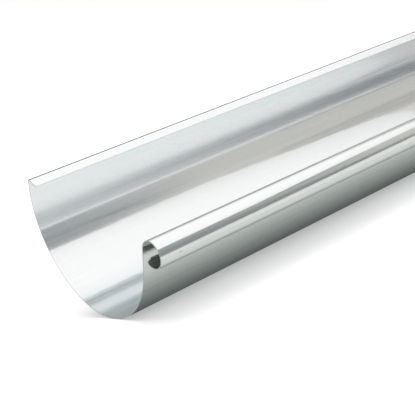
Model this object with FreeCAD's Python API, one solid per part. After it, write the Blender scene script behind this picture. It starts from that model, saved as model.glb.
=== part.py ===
import FreeCAD, Part
import math
import os

# Half-round rain gutter, roll-formed from one strip of galvanised steel sheet.
# Sizes are in millimetres and degrees. X runs along the gutter, the beaded front faces -Y,
# the back edge is towards +Y and Z is up.

# Driving dimensions of the finished gutter
LENGTH = 2000.0
SHEET = 0.7
INSIDE_DIAMETER = 127.0

# Front bead: a round roll whose loose edge is folded back inside it
BEAD_DIAMETER = 18.0
BEAD_CENTRE_RISE = 15.5
BEAD_SWEEP = 290.0
LIP_BEND_RADIUS = 1.0
LIP_BEND_ANGLE = 105.0
LIP_LENGTH = 4.5

# Back edge: a fold that slopes down into the gutter
BACK_RISE = 4.4
FOLD_WIDTH = 9.6
FOLD_FALL = 10.0
FOLD_RADIUS = 0.8

# A half round turns the sheet from straight down to straight up
HALF_TURN = 180.0
QUARTER_TURN = 90.0


def straight(length):
    """A flat run of the strip."""
    return {"length": length, "radius": 0.0, "turn": 0.0}


def bend(inside_radius, turn):
    """A bend given by its inside radius and the angle it turns, left being positive."""
    centre_line_radius = inside_radius + SHEET / 2
    return {"length": 0.0, "radius": centre_line_radius, "turn": turn}


def direction(heading):
    """Unit vector in the section's plane, 0 degrees being towards the back."""
    angle = math.radians(heading)
    return FreeCAD.Vector(0, math.cos(angle), math.sin(angle))


def left_of(heading):
    """Unit vector pointing to the left of a heading."""
    return direction(heading + QUARTER_TURN)


def bend_point(centre, heading, radius, hand):
    """Where a line of this heading touches a bend. Its centre is to the left if hand is 1."""
    return centre - left_of(heading) * (hand * radius)


def strip_face_line(runs, start, heading, offset):
    """Edges of one face of the bent strip, offset to the left of its centre line."""
    edges = []
    place = start
    for run in runs:
        if run["turn"] == 0:
            aside = left_of(heading) * offset
            end = place + direction(heading) * run["length"]
            edges.append(Part.LineSegment(place + aside, end + aside).toShape())
            place = end
            continue
        hand = math.copysign(1, run["turn"])
        centre = place + left_of(heading) * (hand * run["radius"])
        face_radius = run["radius"] - hand * offset
        headings = [heading, heading + run["turn"] / 2, heading + run["turn"]]
        points = [bend_point(centre, angle, face_radius, hand) for angle in headings]
        edges.append(Part.Arc(*points).toShape())
        heading = headings[-1]
        place = bend_point(centre, heading, run["radius"], hand)
    return edges, place, heading


def end_cut(place, heading):
    """The strip's square cut edge, across its thickness."""
    aside = left_of(heading) * (SHEET / 2)
    return Part.LineSegment(place + aside, place - aside).toShape()


def strip_section(runs, start, heading):
    """Closed section of the sheet bent along the runs."""
    left_edges, end, end_heading = strip_face_line(runs, start, heading, SHEET / 2)
    right_edges, end, end_heading = strip_face_line(runs, start, heading, -SHEET / 2)
    loop = left_edges + [end_cut(end, end_heading)]
    loop += right_edges[::-1] + [end_cut(start, heading)]
    return Part.Face(Part.Wire(loop))


def gutter_section():
    """Section of the gutter, with the centre of the half round at the origin."""
    back_wall = BACK_RISE - FOLD_RADIUS - SHEET
    fold_flat = FOLD_WIDTH - FOLD_RADIUS - SHEET
    back_runs = [
        straight(fold_flat),
        bend(FOLD_RADIUS, -(QUARTER_TURN + FOLD_FALL)),
        straight(back_wall),
    ]
    front_runs = [
        bend(INSIDE_DIAMETER / 2, -HALF_TURN),
        straight(BEAD_CENTRE_RISE),
        bend(BEAD_DIAMETER / 2 - SHEET, BEAD_SWEEP),
        bend(LIP_BEND_RADIUS, LIP_BEND_ANGLE),
        straight(LIP_LENGTH),
    ]
    # The back runs end at the half round's own level, on the sheet's centre line
    _, back_end, _ = strip_face_line(back_runs, FreeCAD.Vector(), FOLD_FALL, 0)
    half_round_start = FreeCAD.Vector(0, INSIDE_DIAMETER / 2 + SHEET / 2, 0)
    return strip_section(back_runs + front_runs, half_round_start - back_end, FOLD_FALL)


def lay_at_rest(section):
    """Roll the section until its weight hangs below the half round's centre, then set it down."""
    weight_centre = section.CenterOfMass
    rest_roll = math.degrees(math.atan2(-weight_centre.y, -weight_centre.z))
    section.rotate(FreeCAD.Vector(), FreeCAD.Vector(1, 0, 0), rest_roll)
    box = section.optimalBoundingBox(False)
    middle = (box.YMin + box.YMax) / 2
    section.translate(FreeCAD.Vector(-LENGTH / 2, -middle, -box.ZMin))
    print("rolled", round(rest_roll, 3), "moved", round(-middle, 4), round(-box.ZMin, 4))


def write_part(name, shape):
    """Write one solid as the part's STEP file."""
    os.makedirs("parts", exist_ok=True)
    shape.exportStep("parts/" + name + ".step")
    print(name, "valid", shape.isValid(), "volume", round(shape.Volume, 1))


section = gutter_section()
print("developed width", round(section.Area / SHEET, 2))
lay_at_rest(section)
gutter = section.extrude(FreeCAD.Vector(LENGTH, 0, 0))
write_part("gutter", gutter)
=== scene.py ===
import math

import bpy
from mathutils import Matrix, Vector


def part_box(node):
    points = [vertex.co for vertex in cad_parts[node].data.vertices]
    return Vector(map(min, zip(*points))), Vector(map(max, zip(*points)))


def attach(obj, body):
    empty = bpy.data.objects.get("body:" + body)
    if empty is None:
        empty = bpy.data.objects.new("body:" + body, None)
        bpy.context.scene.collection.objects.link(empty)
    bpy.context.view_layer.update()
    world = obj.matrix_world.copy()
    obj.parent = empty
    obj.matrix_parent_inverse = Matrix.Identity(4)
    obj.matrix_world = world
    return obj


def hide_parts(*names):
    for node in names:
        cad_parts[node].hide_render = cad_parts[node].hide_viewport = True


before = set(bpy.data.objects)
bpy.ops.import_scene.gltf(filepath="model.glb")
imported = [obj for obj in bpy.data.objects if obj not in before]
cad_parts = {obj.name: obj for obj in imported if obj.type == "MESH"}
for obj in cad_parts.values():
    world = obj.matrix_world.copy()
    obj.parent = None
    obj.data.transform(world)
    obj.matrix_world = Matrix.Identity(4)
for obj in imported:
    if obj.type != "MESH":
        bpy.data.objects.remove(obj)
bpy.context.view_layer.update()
gutter_low, gutter_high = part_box("gutter")


# Gutter sheet
# The gutter is one strip of hot-dip galvanised steel sheet, cut to about 280 mm wide and bent along its
# length by a roll former: the fold of the back edge, the half round, then the bead with its folded-in lip.
# Nothing is fixed to it. Its ends and both long edges are cut square and show the bare steel core.
SHEET = 0.0007
INSIDE_RADIUS = 0.0635
BEAD_RADIUS = 0.009
BEAD_CENTRE_RISE = 0.0155
BEAD_SWEEP = 290.0
LIP_BEND_RADIUS = 0.001
LIP_BEND_ANGLE = 105.0
LIP_LENGTH = 0.0045
BACK_RISE = 0.0044
FOLD_WIDTH = 0.0096
FOLD_FALL = 10.0
FOLD_RADIUS = 0.0008

# Lying free, the gutter rolls towards its heavy bead by this angle
REST_ROLL = 28.666

STEPS_ALONG = 100
SMALLEST_HALF_TURN = 0.0001
SHARP_ANGLE = 40.0
STRIP_ATTRIBUTE = "strip"


def straight(name, length, steps):
    """A flat run of the strip."""
    return {"name": name, "length": length, "turn": 0.0, "steps": steps}


def bend(name, inside_radius, degrees, steps):
    """A bent run of the strip, a turn to the left being positive."""
    turn = math.radians(degrees)
    length = (inside_radius + SHEET / 2) * abs(turn)
    return {"name": name, "length": length, "turn": turn, "steps": steps}


# The runs follow each other from the loose edge of the back to the loose edge of the lip
strip_runs = [
    straight("Fold Flat", FOLD_WIDTH - FOLD_RADIUS - SHEET, 4),
    bend("Fold Bend", FOLD_RADIUS, -(90.0 + FOLD_FALL), 14),
    straight("Back Wall", BACK_RISE - FOLD_RADIUS - SHEET, 2),
    bend("Half Round", INSIDE_RADIUS, -180.0, 132),
    straight("Front Wall", BEAD_CENTRE_RISE, 8),
    bend("Bead", BEAD_RADIUS - SHEET, BEAD_SWEEP, 72),
    bend("Lip Bend", LIP_BEND_RADIUS, LIP_BEND_ANGLE, 14),
    straight("Lip", LIP_LENGTH, 3),
]
strip_steps = sum(run["steps"] for run in strip_runs)


def new_input(tree, name, kind):
    """A named input of a node tree."""
    tree.interface.new_socket(name, in_out="INPUT", socket_type="NodeSocket" + kind)


def new_output(tree, name, kind):
    """A named output of a node tree."""
    tree.interface.new_socket(name, in_out="OUTPUT", socket_type="NodeSocket" + kind)


def put(tree, socket, value):
    """Feed an input from another node's output, or set it to a constant."""
    if isinstance(value, bpy.types.NodeSocket):
        tree.links.new(value, socket)
    else:
        socket.default_value = value


def math_node(tree, operation, *values):
    """A Math node of this operation."""
    node = tree.nodes.new("ShaderNodeMath")
    node.operation = operation
    for socket, value in zip(node.inputs, values):
        put(tree, socket, value)
    return node.outputs["Value"]


def vector_node(tree, operation, *values):
    """A Vector Math node of this operation on one or two vectors."""
    node = tree.nodes.new("ShaderNodeVectorMath")
    node.operation = operation
    for socket, value in zip(node.inputs, values):
        put(tree, socket, value)
    return node.outputs["Value" if operation in ("LENGTH", "DISTANCE") else "Vector"]


def scaled_vector(tree, vector, scale):
    """A vector times a number."""
    node = tree.nodes.new("ShaderNodeVectorMath")
    node.operation = "SCALE"
    put(tree, node.inputs["Vector"], vector)
    put(tree, node.inputs["Scale"], scale)
    return node.outputs["Vector"]


def joined_vector(tree, x, y, z):
    """A vector from three numbers."""
    node = tree.nodes.new("ShaderNodeCombineXYZ")
    for socket, value in zip(node.inputs, (x, y, z)):
        put(tree, socket, value)
    return node.outputs["Vector"]


def split_vector(tree, vector):
    """A vector's numbers, named X, Y and Z."""
    node = tree.nodes.new("ShaderNodeSeparateXYZ")
    put(tree, node.inputs["Vector"], vector)
    return node.outputs


def bend_run_group():
    """Node group for one run: it carries a place on the strip along the run, as far as the step says."""
    tree = bpy.data.node_groups.new("bend_one_run", "GeometryNodeTree")
    for name in ("Step", "First Step", "Steps", "Length", "Turn", "Heading", "Across"):
        new_input(tree, name, "Float")
    new_input(tree, "Place", "Vector")
    new_output(tree, "Place", "Vector")
    new_output(tree, "Heading", "Float")
    new_output(tree, "Across", "Float")
    given = tree.nodes.new("NodeGroupInput").outputs
    result = tree.nodes.new("NodeGroupOutput").inputs
    steps_in = math_node(tree, "SUBTRACT", given["Step"], given["First Step"])
    share = math_node(tree, "DIVIDE", steps_in, given["Steps"])
    share = math_node(tree, "MINIMUM", math_node(tree, "MAXIMUM", share, 0.0), 1.0)
    length = math_node(tree, "MULTIPLY", share, given["Length"])
    turn = math_node(tree, "MULTIPLY", share, given["Turn"])
    half_turn = math_node(tree, "MULTIPLY", turn, 0.5)
    # The chord of an arc is its length times sin(x) / x, x being half the turn, and x is kept off zero
    size = math_node(tree, "MAXIMUM", math_node(tree, "ABSOLUTE", half_turn), SMALLEST_HALF_TURN)
    chord_share = math_node(tree, "DIVIDE", math_node(tree, "SINE", size), size)
    chord = math_node(tree, "MULTIPLY", length, chord_share)
    chord_heading = math_node(tree, "ADD", given["Heading"], half_turn)
    along_chord = joined_vector(
        tree, 0.0, math_node(tree, "COSINE", chord_heading), math_node(tree, "SINE", chord_heading)
    )
    moved = vector_node(tree, "ADD", given["Place"], scaled_vector(tree, along_chord, chord))
    put(tree, result["Place"], moved)
    put(tree, result["Heading"], math_node(tree, "ADD", given["Heading"], turn))
    put(tree, result["Across"], math_node(tree, "ADD", given["Across"], length))
    return tree


def follow_runs(tree, given, run_group, step):
    """The place, the heading and the distance across the strip that a point reaches at its step."""
    place = joined_vector(tree, 0.0, 0.0, 0.0)
    heading = given["Start Heading"]
    across = 0.0
    first_step = 0
    for run in strip_runs:
        node = tree.nodes.new("GeometryNodeGroup")
        node.node_tree = run_group
        put(tree, node.inputs["Step"], step)
        put(tree, node.inputs["First Step"], first_step)
        put(tree, node.inputs["Steps"], run["steps"])
        put(tree, node.inputs["Length"], given[run["name"] + " Length"])
        put(tree, node.inputs["Turn"], given[run["name"] + " Turn"])
        put(tree, node.inputs["Place"], place)
        put(tree, node.inputs["Heading"], heading)
        put(tree, node.inputs["Across"], across)
        place = node.outputs["Place"]
        heading = node.outputs["Heading"]
        across = node.outputs["Across"]
        first_step += run["steps"]
    return place, heading, across


def moved_points(tree, geometry, position):
    """Geometry with its points moved to these positions."""
    node = tree.nodes.new("GeometryNodeSetPosition")
    put(tree, node.inputs["Geometry"], geometry)
    put(tree, node.inputs["Position"], position)
    return node.outputs["Geometry"]


def finished_faces(tree, geometry, finish, chosen=True):
    """Geometry with this material on the chosen faces."""
    node = tree.nodes.new("GeometryNodeSetMaterial")
    put(tree, node.inputs["Geometry"], geometry)
    put(tree, node.inputs["Selection"], chosen)
    put(tree, node.inputs["Material"], finish)
    return node.outputs["Geometry"]


def bent_strip_tree(run_group):
    """Node tree that bends a flat strip run by run and lays it where its node lies."""
    tree = bpy.data.node_groups.new("bent_strip", "GeometryNodeTree")
    new_input(tree, "Length", "Float")
    new_input(tree, "Sheet", "Float")
    new_input(tree, "Start Heading", "Float")
    new_input(tree, "Lowest Corner", "Vector")
    new_input(tree, "Highest Corner", "Vector")
    new_input(tree, "Sheet Finish", "Material")
    new_input(tree, "Edge Finish", "Material")
    for run in strip_runs:
        new_input(tree, run["name"] + " Length", "Float")
        new_input(tree, run["name"] + " Turn", "Float")
    new_output(tree, "Geometry", "Geometry")
    given = tree.nodes.new("NodeGroupInput").outputs
    result = tree.nodes.new("NodeGroupOutput").inputs

    # A flat bar, as many units wide as the strip has steps, so that Y counts the steps
    bar = tree.nodes.new("GeometryNodeMeshCube")
    put(tree, bar.inputs["Size"], joined_vector(tree, given["Length"], strip_steps, given["Sheet"]))
    put(tree, bar.inputs["Vertices X"], STEPS_ALONG + 1)
    put(tree, bar.inputs["Vertices Y"], strip_steps + 1)
    put(tree, bar.inputs["Vertices Z"], 2)
    flat = split_vector(tree, tree.nodes.new("GeometryNodeInputPosition").outputs["Position"])
    step = math_node(tree, "ADD", flat["Y"], strip_steps / 2)

    # Cut faces are those of the flat bar that look along its length or its width
    normal = split_vector(tree, tree.nodes.new("GeometryNodeInputNormal").outputs["Normal"])
    sideways = math_node(tree, "LESS_THAN", math_node(tree, "ABSOLUTE", normal["Z"]), 0.5)
    cut_faces = tree.nodes.new("GeometryNodeCaptureAttribute")
    cut_faces.domain = "FACE"
    cut_faces.capture_items.new("FLOAT", "Cut")
    put(tree, cut_faces.inputs["Geometry"], bar.outputs["Mesh"])
    put(tree, cut_faces.inputs["Cut"], sideways)

    # Each point goes to its run's place, and aside from it by its height in the sheet
    place, heading, across = follow_runs(tree, given, run_group, step)
    left = joined_vector(
        tree, 0.0, math_node(tree, "MULTIPLY", math_node(tree, "SINE", heading), -1.0),
        math_node(tree, "COSINE", heading),
    )
    bent = vector_node(tree, "ADD", place, scaled_vector(tree, left, flat["Z"]))
    bent = vector_node(tree, "ADD", bent, joined_vector(tree, flat["X"], 0.0, 0.0))

    # The finish needs to know where on the flat strip each point was
    keep_strip = tree.nodes.new("GeometryNodeStoreNamedAttribute")
    keep_strip.data_type = "FLOAT_VECTOR"
    keep_strip.domain = "POINT"
    put(tree, keep_strip.inputs["Name"], STRIP_ATTRIBUTE)
    put(tree, keep_strip.inputs["Geometry"], cut_faces.outputs["Geometry"])
    put(tree, keep_strip.inputs["Value"], joined_vector(tree, flat["X"], across, flat["Z"]))
    bent_sheet = moved_points(tree, keep_strip.outputs["Geometry"], bent)

    # The bent strip is set down where its node lies, and rounding takes no point out of the node's box
    own_box = tree.nodes.new("GeometryNodeBoundBox")
    put(tree, own_box.inputs["Geometry"], bent_sheet)
    laying = tree.nodes.new("GeometryNodeTransform")
    put(tree, laying.inputs["Geometry"], bent_sheet)
    to_node = vector_node(tree, "SUBTRACT", given["Lowest Corner"], own_box.outputs["Min"])
    put(tree, laying.inputs["Translation"], to_node)
    laid = tree.nodes.new("GeometryNodeInputPosition").outputs["Position"]
    laid = vector_node(tree, "MAXIMUM", laid, given["Lowest Corner"])
    laid = vector_node(tree, "MINIMUM", laid, given["Highest Corner"])
    laid_sheet = moved_points(tree, laying.outputs["Geometry"], laid)

    smooth = tree.nodes.new("GeometryNodeSetShadeSmooth")
    put(tree, smooth.inputs["Geometry"], laid_sheet)
    realized = tree.nodes.new("GeometryNodeRealizeInstances")
    put(tree, realized.inputs["Geometry"], smooth.outputs["Geometry"])
    sheet = finished_faces(tree, realized.outputs["Geometry"], given["Sheet Finish"])
    sheet = finished_faces(tree, sheet, given["Edge Finish"], cut_faces.outputs["Cut"])
    put(tree, result["Geometry"], sheet)
    return tree


# Zinc skin. It is smooth with a matt grain in it, and the rolls have left it faintly streaked and uneven.
# Sizes are along and across the strip. A tint comes at its rise and goes at its fall, both measured
# across the strip from its back edge. The speck is placed along the strip, across it and on its skin.
GRAIN_SIZE = (0.0003, 0.0002)
STREAK_SIZE = (0.12, 0.0016)
STREAK_SPAN = (0.3, 0.7)
UNEVEN_SIZE = (0.012, 0.004)
ZINC = (0.85, 0.86, 0.865)
ZINC_STREAK = (0.87, 0.88, 0.885)
SMOOTH_SKIN = 0.07
MATT_GRAIN = 0.36
GRAIN_SPAN = (0.48, 0.62)
STREAK_IN_GRAIN = 0.03
STREAK_IN_RELIEF = 0.08
SKIN_RELIEF = 0.000018

# A dark line is painted on the zinc along the tight back fold's bend: a painted reflection of its dark edge
PAINTED_FOLD_LINE_RISE = (0.0076, 0.0079)
PAINTED_FOLD_LINE_FALL = (0.0093, 0.0098)
PAINTED_FOLD_LINE_ZINC = (0.10, 0.105, 0.105)

# Painted shade: inside the bead, from where its bend starts, the zinc is painted darker
PAINTED_BEAD_SHADE_RISE = (0.2291, 0.2311)
PAINTED_BEAD_SHADE_ZINC = (0.72, 0.74, 0.73)

# Painted reflection: along the bottom of the trough, a faint blue is painted on the zinc for light that
# bounces round it
PAINTED_BOUNCE_BLUE_RISE = (0.095, 0.106)
PAINTED_BOUNCE_BLUE_FALL = (0.16, 0.18)
PAINTED_BOUNCE_BLUE_ZINC = (0.82, 0.875, 0.885)

# A small dull speck is on the bead's face, near the left end
SPECK_PLACE = (-0.986, 0.2554, -SHEET / 2)
SPECK_EDGE = (0.0003, 0.0008)
SPECK_SHARE = 0.6
SPECK_COLOUR = (0.30, 0.30, 0.28)


def mapped(tree, value, span, to_low=0.0, to_high=1.0):
    """A number moved from its span to another and held inside it."""
    node = tree.nodes.new("ShaderNodeMapRange")
    put(tree, node.inputs["Value"], value)
    put(tree, node.inputs["From Min"], span[0])
    put(tree, node.inputs["From Max"], span[1])
    put(tree, node.inputs["To Min"], to_low)
    put(tree, node.inputs["To Max"], to_high)
    return node.outputs["Result"]


def band(tree, value, rise, fall):
    """1 from the end of the rise to the start of the fall, and 0 outside them."""
    risen = mapped(tree, value, rise)
    return math_node(tree, "MULTIPLY", risen, mapped(tree, value, fall, 1.0, 0.0))


def mixed_colour(tree, share, first, second):
    """A colour between two colours."""
    node = tree.nodes.new("ShaderNodeMix")
    node.data_type = "RGBA"
    put(tree, node.inputs["Factor"], share)
    ends = [socket for socket in node.inputs if socket.type == "RGBA"]
    for socket, colour in zip(ends, (first, second)):
        given_by_node = isinstance(colour, bpy.types.NodeSocket)
        put(tree, socket, colour if given_by_node else (*colour, 1.0))
    return [socket for socket in node.outputs if socket.type == "RGBA"][0]


def place_on_strip(tree):
    """Where a point of the sheet was on the flat strip: along it, across it and out from its middle."""
    node = tree.nodes.new("ShaderNodeAttribute")
    node.attribute_name = STRIP_ATTRIBUTE
    return node.outputs["Vector"]


def strip_noise(tree, strip_place, size, detail=0.0):
    """Noise on the strip, in patches of about this size along and across it."""
    noise = tree.nodes.new("ShaderNodeTexNoise")
    put(tree, noise.inputs["Scale"], 1.0)
    put(tree, noise.inputs["Detail"], detail)
    put(tree, noise.inputs["Vector"], vector_node(tree, "DIVIDE", strip_place, (*size, 1.0)))
    return noise.outputs["Fac"]


def zinc_coating():
    """Bright zinc with its streaks and speck, painted shade in the bead, a painted blue trough bottom and a
    painted dark fold line.
    """
    material = bpy.data.materials.new("zinc_coating")
    material.use_nodes = True
    tree = material.node_tree
    finish = tree.nodes["Principled BSDF"].inputs
    strip_place = place_on_strip(tree)
    streak = strip_noise(tree, strip_place, STREAK_SIZE, detail=2.0)

    # The sheet's positive side ends up inside the bead, and its negative side inside the trough
    strip_axes = split_vector(tree, strip_place)
    across = strip_axes["Y"]
    bead_side = math_node(tree, "GREATER_THAN", strip_axes["Z"], 0.0)
    trough_side = math_node(tree, "LESS_THAN", strip_axes["Z"], 0.0)
    # Painted shade inside the bead's hollow
    painted_bead_shade = math_node(tree, "MULTIPLY", mapped(tree, across, PAINTED_BEAD_SHADE_RISE), bead_side)
    # Painted reflection: the blue of light bouncing round the trough's bottom
    painted_bounce_blue = math_node(tree, "MULTIPLY", band(tree, across, PAINTED_BOUNCE_BLUE_RISE, PAINTED_BOUNCE_BLUE_FALL), trough_side)
    # Painted reflection: the dark line along the back fold's bend
    painted_fold_line = band(tree, across, PAINTED_FOLD_LINE_RISE, PAINTED_FOLD_LINE_FALL)
    from_speck = vector_node(tree, "DISTANCE", strip_place, SPECK_PLACE)
    speck = mapped(tree, from_speck, SPECK_EDGE, SPECK_SHARE, 0.0)
    zinc = mixed_colour(tree, mapped(tree, streak, STREAK_SPAN), ZINC, ZINC_STREAK)
    zinc = mixed_colour(tree, painted_bead_shade, zinc, PAINTED_BEAD_SHADE_ZINC)
    zinc = mixed_colour(tree, painted_bounce_blue, zinc, PAINTED_BOUNCE_BLUE_ZINC)
    zinc = mixed_colour(tree, painted_fold_line, zinc, PAINTED_FOLD_LINE_ZINC)
    zinc = mixed_colour(tree, speck, zinc, SPECK_COLOUR)
    put(tree, finish["Base Color"], zinc)
    put(tree, finish["Metallic"], 1.0)

    grain = strip_noise(tree, strip_place, GRAIN_SIZE)
    streak_shift = mapped(tree, streak, STREAK_SPAN, -STREAK_IN_GRAIN, STREAK_IN_GRAIN)
    matt = math_node(tree, "ADD", grain, streak_shift)
    put(tree, finish["Roughness"], mapped(tree, matt, GRAIN_SPAN, SMOOTH_SKIN, MATT_GRAIN))

    uneven = strip_noise(tree, strip_place, UNEVEN_SIZE, detail=2.0)
    streak_relief = math_node(tree, "MULTIPLY", streak, STREAK_IN_RELIEF)
    bump = tree.nodes.new("ShaderNodeBump")
    put(tree, bump.inputs["Strength"], 1.0)
    put(tree, bump.inputs["Distance"], SKIN_RELIEF)
    put(tree, bump.inputs["Height"], math_node(tree, "ADD", uneven, streak_relief))
    put(tree, finish["Normal"], bump.outputs["Normal"])
    return material


# Sheared edge. Its steel is bare, and on the back fold's loose edge the zinc is smeared over the cut.
BARE_STEEL = (0.50, 0.51, 0.51)
SMEARED_ZINC = (0.95, 0.96, 0.95)
SMEAR_FALL = (0.0002, 0.0004)
SHEARED_ROUGHNESS = 0.45


def bare_steel_edge():
    """The sheared edge: grey steel, and bright zinc smeared over it along the back."""
    material = bpy.data.materials.new("bare_steel_edge")
    material.use_nodes = True
    tree = material.node_tree
    finish = tree.nodes["Principled BSDF"].inputs
    across = split_vector(tree, place_on_strip(tree))["Y"]
    smeared = mapped(tree, across, SMEAR_FALL, 1.0, 0.0)
    put(tree, finish["Base Color"], mixed_colour(tree, smeared, BARE_STEEL, SMEARED_ZINC))
    put(tree, finish["Metallic"], 1.0)
    put(tree, finish["Roughness"], SHEARED_ROUGHNESS)
    return material


def plain_mesh_object(name, source):
    """What an object with modifiers looks like, as a new object with a plain mesh."""
    evaluated = source.evaluated_get(bpy.context.evaluated_depsgraph_get())
    mesh = bpy.data.meshes.new_from_object(evaluated)
    mesh.name = name
    piece = bpy.data.objects.new(name, mesh)
    bpy.context.scene.collection.objects.link(piece)
    return piece


def bend_the_strip():
    """The gutter's sheet, bent by the node tree and turned into a plain mesh."""
    former = bpy.data.objects.new("strip_former", bpy.data.meshes.new("strip_former"))
    bpy.context.scene.collection.objects.link(former)
    tree = bent_strip_tree(bend_run_group())
    modifier = former.modifiers.new("bent_strip", "NODES")
    modifier.node_group = tree
    sizes = {
        "Length": gutter_high.x - gutter_low.x,
        "Sheet": SHEET,
        "Start Heading": math.radians(FOLD_FALL + REST_ROLL),
        "Lowest Corner": gutter_low,
        "Highest Corner": gutter_high,
        "Sheet Finish": zinc_coating(),
        "Edge Finish": bare_steel_edge(),
    }
    for run in strip_runs:
        sizes[run["name"] + " Length"] = run["length"]
        sizes[run["name"] + " Turn"] = run["turn"]
    for socket in tree.interface.items_tree:
        if socket.in_out == "INPUT":
            modifier[socket.identifier] = sizes[socket.name]
    piece = plain_mesh_object("gutter_sheet", former)
    bpy.data.objects.remove(former)
    piece.data.set_sharp_from_angle(angle=math.radians(SHARP_ANGLE))
    return piece


gutter_sheet = bend_the_strip()
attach(gutter_sheet, "root")
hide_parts("gutter")


# Floor
# A plain floor in matt white paint, which the gutter lies on. It reaches far past the picture. Where the
# metal mirrors it, the floor is painted a darker, faintly green white: a painted reflection.
FLOOR_HALF_SIZE = 60.0
FLOOR_WHITE = (0.86, 0.86, 0.86)
FLOOR_IN_METAL = (0.815, 0.82, 0.79)
FLOOR_ROUGHNESS = 0.9

# The picture sees the floor lifted to white: by this share near the gutter, and fully further away
LIFT_NEAR = 0.4
LIFT_RISE = (0.25, 1.6)


def flat_sheet(name, corners):
    """One flat face through its corners."""
    mesh = bpy.data.meshes.new(name)
    mesh.from_pydata(corners, [], [range(len(corners))])
    sheet = bpy.data.objects.new(name, mesh)
    bpy.context.scene.collection.objects.link(sheet)
    return sheet


def rectangle(left, right, near, far):
    """Corners of a rectangle between two places along X and two along the other axis."""
    return [(left, near), (right, near), (right, far), (left, far)]


def level(outline, height):
    """The corners of a level outline, given by X and Y, at this height."""
    return [(x, y, height) for x, y in outline]


def white_floor_paint():
    """White paint. The picture sees it lifted to white, more so far from the gutter; the metal sees a
    painted darker reflection.
    """
    material = bpy.data.materials.new("white_floor_paint")
    material.use_nodes = True
    tree = material.node_tree
    finish = tree.nodes["Principled BSDF"].inputs
    floor_place = split_vector(tree, tree.nodes.new("ShaderNodeTexCoord").outputs["Object"])
    past_end = math_node(tree, "SUBTRACT", math_node(tree, "ABSOLUTE", floor_place["X"]), gutter_high.x)
    past_end = math_node(tree, "MAXIMUM", past_end, 0.0)
    away = vector_node(tree, "LENGTH", joined_vector(tree, past_end, floor_place["Y"], 0.0))
    lift = mapped(tree, away, LIFT_RISE, LIFT_NEAR, 1.0)
    ray = tree.nodes.new("ShaderNodeLightPath").outputs
    seen_lift = math_node(tree, "MULTIPLY", ray["Is Camera Ray"], lift)
    # Painted reflection: only where the metal mirrors the floor is its white darker and faintly green
    paint = mixed_colour(tree, ray["Is Glossy Ray"], FLOOR_WHITE, FLOOR_IN_METAL)
    put(tree, finish["Base Color"], paint)
    put(tree, finish["Roughness"], FLOOR_ROUGHNESS)
    put(tree, finish["Specular IOR Level"], 0.0)
    put(tree, finish["Emission Color"], (1.0, 1.0, 1.0, 1.0))
    put(tree, finish["Emission Strength"], seen_lift)
    return material


floor_outline = rectangle(-FLOOR_HALF_SIZE, FLOOR_HALF_SIZE, -FLOOR_HALF_SIZE, FLOOR_HALF_SIZE)
floor = flat_sheet("floor", level(floor_outline, 0.0))
floor.data.materials.append(white_floor_paint())


# Light
# A white room, a large soft lamp overhead, and grey and white cards that only the metal's reflections show.
# Far cards make the ceiling and the walls. Near ones stand close before and behind the gutter, and two lie
# on the floor under it as its painted shadow. Together they give bright sheet the soft bands that it has in
# a studio.
LAMP_HEIGHT = 1.9
LAMP_LENGTH = 3.4
LAMP_WIDTH = 4.85
LAMP_AHEAD = -1.075
LAMP_POWER = 1.3

# The room lights things by this share of the white that it shows
ROOM_SHARE = 0.4

# Light goes round the inside of the bright trough many times before it leaves
METAL_BOUNCES = 12

# Where the cards are: heights, places along Y, and places along X
OVERHEAD = 1.9
BACK_CORNER = 1.92
CEILING = 1.95
BACK_SPLIT = 1.2
FRONT_TOP = 3.6
BEHIND_FROM = 0.12
BEHIND_SPLIT = 0.175
BEHIND_TO = 0.35
NEAR_SPLIT = 0.05
STUDIO_FRONT = -4.6
STUDIO_BACK = 1.35
OVERHEAD_SPLIT = -0.85
BEFORE_GUTTER = -0.15
BEHIND_GUTTER = 0.13
UNDER_GUTTER = 0.008
ROOM_LEFT = -2.5
ROOM_RIGHT = 5.5
OVERHEAD_LEFT = -1.5
NEAR_REACH = 1.1

# A card over another is nearer by a hair. The cards under the gutter are lower than its sheet is thick,
# so that they stay out of the trough.
HAIR = 0.001
ON_FLOOR = 0.0004


def upright(outline, y):
    """The corners of an outline, given by X and height, that stands at this place along Y."""
    return [(x, y, z) for x, z in outline]


def share_along(tree, axis, span):
    """Rises smoothly from 0 to 1 between two places along this axis."""
    place = split_vector(tree, tree.nodes.new("ShaderNodeTexCoord").outputs["Object"])
    node = tree.nodes.new("ShaderNodeMapRange")
    node.interpolation_type = "SMOOTHSTEP"
    put(tree, node.inputs["Value"], place[axis])
    put(tree, node.inputs["From Min"], span[0])
    put(tree, node.inputs["From Max"], span[1])
    return node.outputs["Result"]


def card_paint(name, first, second=None, span=None, axis="X", white_rise=None):
    """Even brightness in one colour, or passing to a second along an axis, and to white further up."""
    material = bpy.data.materials.new(name)
    material.use_nodes = True
    tree = material.node_tree
    tree.nodes.clear()
    colour = (*first, 1.0)
    if second:
        colour = mixed_colour(tree, share_along(tree, axis, span), first, second)
    if white_rise:
        colour = mixed_colour(tree, share_along(tree, "Z", white_rise), colour, (1.0, 1.0, 1.0))
    glow = tree.nodes.new("ShaderNodeEmission")
    put(tree, glow.inputs["Color"], colour)
    put(tree, tree.nodes.new("ShaderNodeOutputMaterial").inputs["Surface"], glow.outputs["Emission"])
    return material


def studio_card(name, corners, paint):
    """A flat card that only reflections show. It throws no shadow and lights nothing else."""
    card = flat_sheet(name, corners)
    card.data.materials.append(paint)
    card.visible_camera = False
    card.visible_diffuse = False
    card.visible_transmission = False
    card.visible_shadow = False


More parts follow.
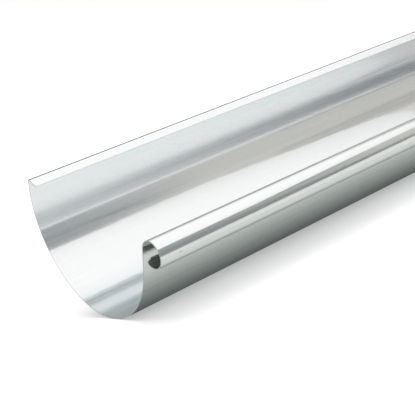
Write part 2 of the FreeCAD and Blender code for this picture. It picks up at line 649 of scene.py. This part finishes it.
# Overhead, white over the gutter and grey past its right end
studio_card(
    "overhead_card",
    level([
        (OVERHEAD_LEFT, OVERHEAD_SPLIT), (1.536, OVERHEAD_SPLIT), (1.4, -0.6), (1.4, 0.75),
        (0.7, STUDIO_BACK), (OVERHEAD_LEFT, STUDIO_BACK),
    ], OVERHEAD),
    card_paint("overhead_white", (1.125, 1.125, 1.11), (1.0, 0.98, 0.965), span=(0.5, 2.4)),
)
studio_card(
    "overhead_front_card",
    level([
        (OVERHEAD_LEFT, STUDIO_FRONT), (2.65, STUDIO_FRONT), (2.65, -2.9), (1.536, OVERHEAD_SPLIT),
        (OVERHEAD_LEFT, OVERHEAD_SPLIT),
    ], OVERHEAD),
    card_paint("overhead_front_white", (1.115, 1.105, 1.10), (0.98, 0.98, 0.975), span=(0.5, 2.4)),
)
studio_card(
    "ceiling_card",
    level(rectangle(1.0, ROOM_RIGHT, STUDIO_FRONT, STUDIO_BACK), CEILING),
    card_paint("ceiling_grey", (0.62, 0.6, 0.59)),
)
studio_card(
    "back_corner_card",
    level(rectangle(0.6, 1.8, 0.7, STUDIO_BACK), BACK_CORNER),
    card_paint("back_corner_grey", (0.32, 0.36, 0.37), (0.24, 0.27, 0.28), span=(0.7, 1.4)),
)

# The walls, in front and at the back
studio_card(
    "front_card",
    upright(rectangle(ROOM_LEFT, ROOM_RIGHT, 0.0, FRONT_TOP), STUDIO_FRONT),
    card_paint("front_card_grey", (0.29, 0.317, 0.329), (0.60, 0.59, 0.555), span=(1.2, 2.3)),
)
studio_card(
    "back_card",
    upright(rectangle(ROOM_LEFT, ROOM_RIGHT, BACK_SPLIT, CEILING), STUDIO_BACK),
    card_paint("back_card_grey", (0.62, 0.61, 0.60), (1.03, 1.0, 0.99), span=(-0.35, 0.6)),
)
studio_card(
    "low_back_card",
    upright(rectangle(ROOM_LEFT, ROOM_RIGHT, 0.0, BACK_SPLIT), STUDIO_BACK),
    card_paint("low_back_grey", (0.45, 0.45, 0.45), (0.97, 0.97, 0.98), span=(-0.5, 0.75)),
)

# Close before the gutter, for the dark bands inside the trough and along the bead
studio_card(
    "near_card",
    upright([
        (-NEAR_REACH, NEAR_SPLIT), (NEAR_REACH, NEAR_SPLIT), (NEAR_REACH, 0.21), (-0.376, 0.194),
        (-0.638, 0.148), (-0.75, 0.125), (-0.86, 0.089), (-NEAR_REACH, 0.087),
    ], BEFORE_GUTTER),
    card_paint("near_card_grey", (0.21, 0.245, 0.265), (0.583, 0.583, 0.549), span=(-0.86, -0.69)),
)
studio_card(
    "near_low_card",
    upright(rectangle(-NEAR_REACH, -0.6, 0.045, 0.083), BEFORE_GUTTER + HAIR),
    card_paint("near_low_grey", (0.315, 0.342, 0.345), (0.583, 0.583, 0.549), span=(-0.93, -0.68)),
)
studio_card(
    "near_upper_card",
    upright([
        (-0.6, 0.13), (-0.46, 0.125), (NEAR_REACH, 0.125), (NEAR_REACH, 0.21), (-0.376, 0.194),
        (-0.6, 0.155),
    ], BEFORE_GUTTER + HAIR),
    card_paint("near_upper_grey", (0.45, 0.44, 0.42)),
)
studio_card(
    "near_dark_card",
    upright([
        (-NEAR_REACH, 0.0), (-0.95, 0.0), (-0.86, 0.005), (-0.7, 0.017), (NEAR_REACH, 0.02),
        (NEAR_REACH, NEAR_SPLIT), (-NEAR_REACH, NEAR_SPLIT),
    ], BEFORE_GUTTER),
    card_paint("near_dark_grey", (0.25, 0.26, 0.25)),
)

# Under the gutter, a painted shadow: dark cards where the floor lies in the gutter's shade, so that the
# outside of its half round darkens towards the floor
studio_card(
    "front_shade_card",
    level(rectangle(gutter_low.x, ROOM_RIGHT, -0.1, UNDER_GUTTER), ON_FLOOR),
    card_paint(
        "front_shade_grey", (0.72, 0.75, 0.71), (0.086, 0.105, 0.10), span=(-0.081, -0.006), axis="Y",
    ),
)
studio_card(
    "back_shade_card",
    level(rectangle(gutter_low.x, ROOM_RIGHT, UNDER_GUTTER, 0.11), ON_FLOOR),
    card_paint(
        "back_shade_grey", (0.091, 0.105, 0.098), (0.76, 0.755, 0.71), span=(0.022, 0.103), axis="Y",
    ),
)

# Close behind the gutter, for the bead's dark rear line and the dark band high inside the trough
studio_card(
    "behind_card",
    upright(rectangle(-NEAR_REACH, NEAR_REACH, BEHIND_SPLIT, BEHIND_TO), BEHIND_GUTTER),
    card_paint(
        "behind_grey", (0.66, 0.70, 0.71), (0.06, 0.105, 0.115), span=(-0.9, -0.15),
        white_rise=(0.205, 0.36),
    ),
)
studio_card(
    "behind_dark_card",
    upright(rectangle(-NEAR_REACH, -0.4, BEHIND_FROM, BEHIND_SPLIT), BEHIND_GUTTER),
    card_paint("behind_dark_grey", (0.06, 0.06, 0.058), (0.60, 0.60, 0.59), span=(-0.8, -0.42)),
)

# The room itself, which the picture and the metal see as white
world = bpy.data.worlds.new("white_room")
world.use_nodes = True
room = world.node_tree
background = room.nodes["Background"].inputs
ray = room.nodes.new("ShaderNodeLightPath").outputs
seen = math_node(room, "MAXIMUM", ray["Is Camera Ray"], ray["Is Glossy Ray"])
seen = math_node(room, "MAXIMUM", seen, ray["Is Transmission Ray"])
put(room, background["Color"], (1.0, 1.0, 1.0, 1.0))
put(room, background["Strength"], math_node(room, "MAXIMUM", seen, ROOM_SHARE))
bpy.context.scene.world = world

# The lamp lights everything, and no reflection shows it
lamp_data = bpy.data.lights.new("overhead_lamp", "AREA")
lamp_data.shape = "RECTANGLE"
lamp_data.size = LAMP_LENGTH
lamp_data.size_y = LAMP_WIDTH
lamp_data.energy = LAMP_POWER * math.pi * LAMP_LENGTH * LAMP_WIDTH
lamp = bpy.data.objects.new("overhead_lamp", lamp_data)
lamp.location = (0.0, LAMP_AHEAD, LAMP_HEIGHT)
lamp.visible_camera = False
lamp.visible_glossy = False
bpy.context.scene.collection.objects.link(lamp)
bpy.context.scene.cycles.glossy_bounces = METAL_BOUNCES


# Camera
# It looks down into the gutter from in front of its left end. The photograph shows the gutter with its rim
# level, so the camera is placed about an upright gutter and then rolled with it.
IMAGE_PIXELS = 415
FOCAL_PIXELS = 981.96
END_CENTRE_PIXEL = (82.13, 224.79)
END_CENTRE_DISTANCE = 0.61378
VIEW_AZIMUTH = 39.841
VIEW_ELEVATION = 32.359
VIEW_ROLL = -0.339
SENSOR_WIDTH = 36.0
NEAREST_SEEN = 0.01
FURTHEST_SEEN = 200.0


def camera_matrix():
    """The camera's place and turn, from where the centre of the gutter's left end shows in the picture."""
    azimuth = math.radians(VIEW_AZIMUTH)
    elevation = math.radians(VIEW_ELEVATION)
    level_share = math.cos(elevation)
    forward = Vector((
        math.sin(azimuth) * level_share,
        math.cos(azimuth) * level_share,
        -math.sin(elevation),
    ))
    level_right = Vector((math.cos(azimuth), -math.sin(azimuth), 0.0))
    roll = Matrix.Rotation(-math.radians(VIEW_ROLL), 3, forward)
    right = roll @ level_right
    up = roll @ level_right.cross(forward)
    across = (END_CENTRE_PIXEL[0] - IMAGE_PIXELS / 2) / FOCAL_PIXELS
    down = (END_CENTRE_PIXEL[1] - IMAGE_PIXELS / 2) / FOCAL_PIXELS
    to_end = forward + right * across - up * down
    turn = Matrix((right, up, -forward)).transposed().to_4x4()
    about_end = Matrix.Translation(-to_end * END_CENTRE_DISTANCE) @ turn

    # The centre of the half round lies aside from the bead by the section's own sizes, rolled
    rest_roll = math.radians(REST_ROLL)
    roll_with_gutter = Matrix.Rotation(rest_roll, 4, "X")
    bead_aside = (INSIDE_RADIUS + BEAD_RADIUS) * math.cos(rest_roll)
    bead_aside += BEAD_CENTRE_RISE * math.sin(rest_roll)
    end_centre = Vector((
        gutter_low.x,
        gutter_low.y + BEAD_RADIUS + bead_aside,
        gutter_low.z + INSIDE_RADIUS + SHEET,
    ))
    return Matrix.Translation(end_centre) @ roll_with_gutter @ about_end


camera_data = bpy.data.cameras.new("camera")
camera_data.sensor_width = SENSOR_WIDTH
camera_data.lens = SENSOR_WIDTH * FOCAL_PIXELS / IMAGE_PIXELS
camera_data.clip_start = NEAREST_SEEN
camera_data.clip_end = FURTHEST_SEEN
camera = bpy.data.objects.new("camera", camera_data)
camera.matrix_world = camera_matrix()
bpy.context.scene.collection.objects.link(camera)
bpy.context.scene.camera = camera
bpy.context.scene.view_settings.view_transform = "Standard"
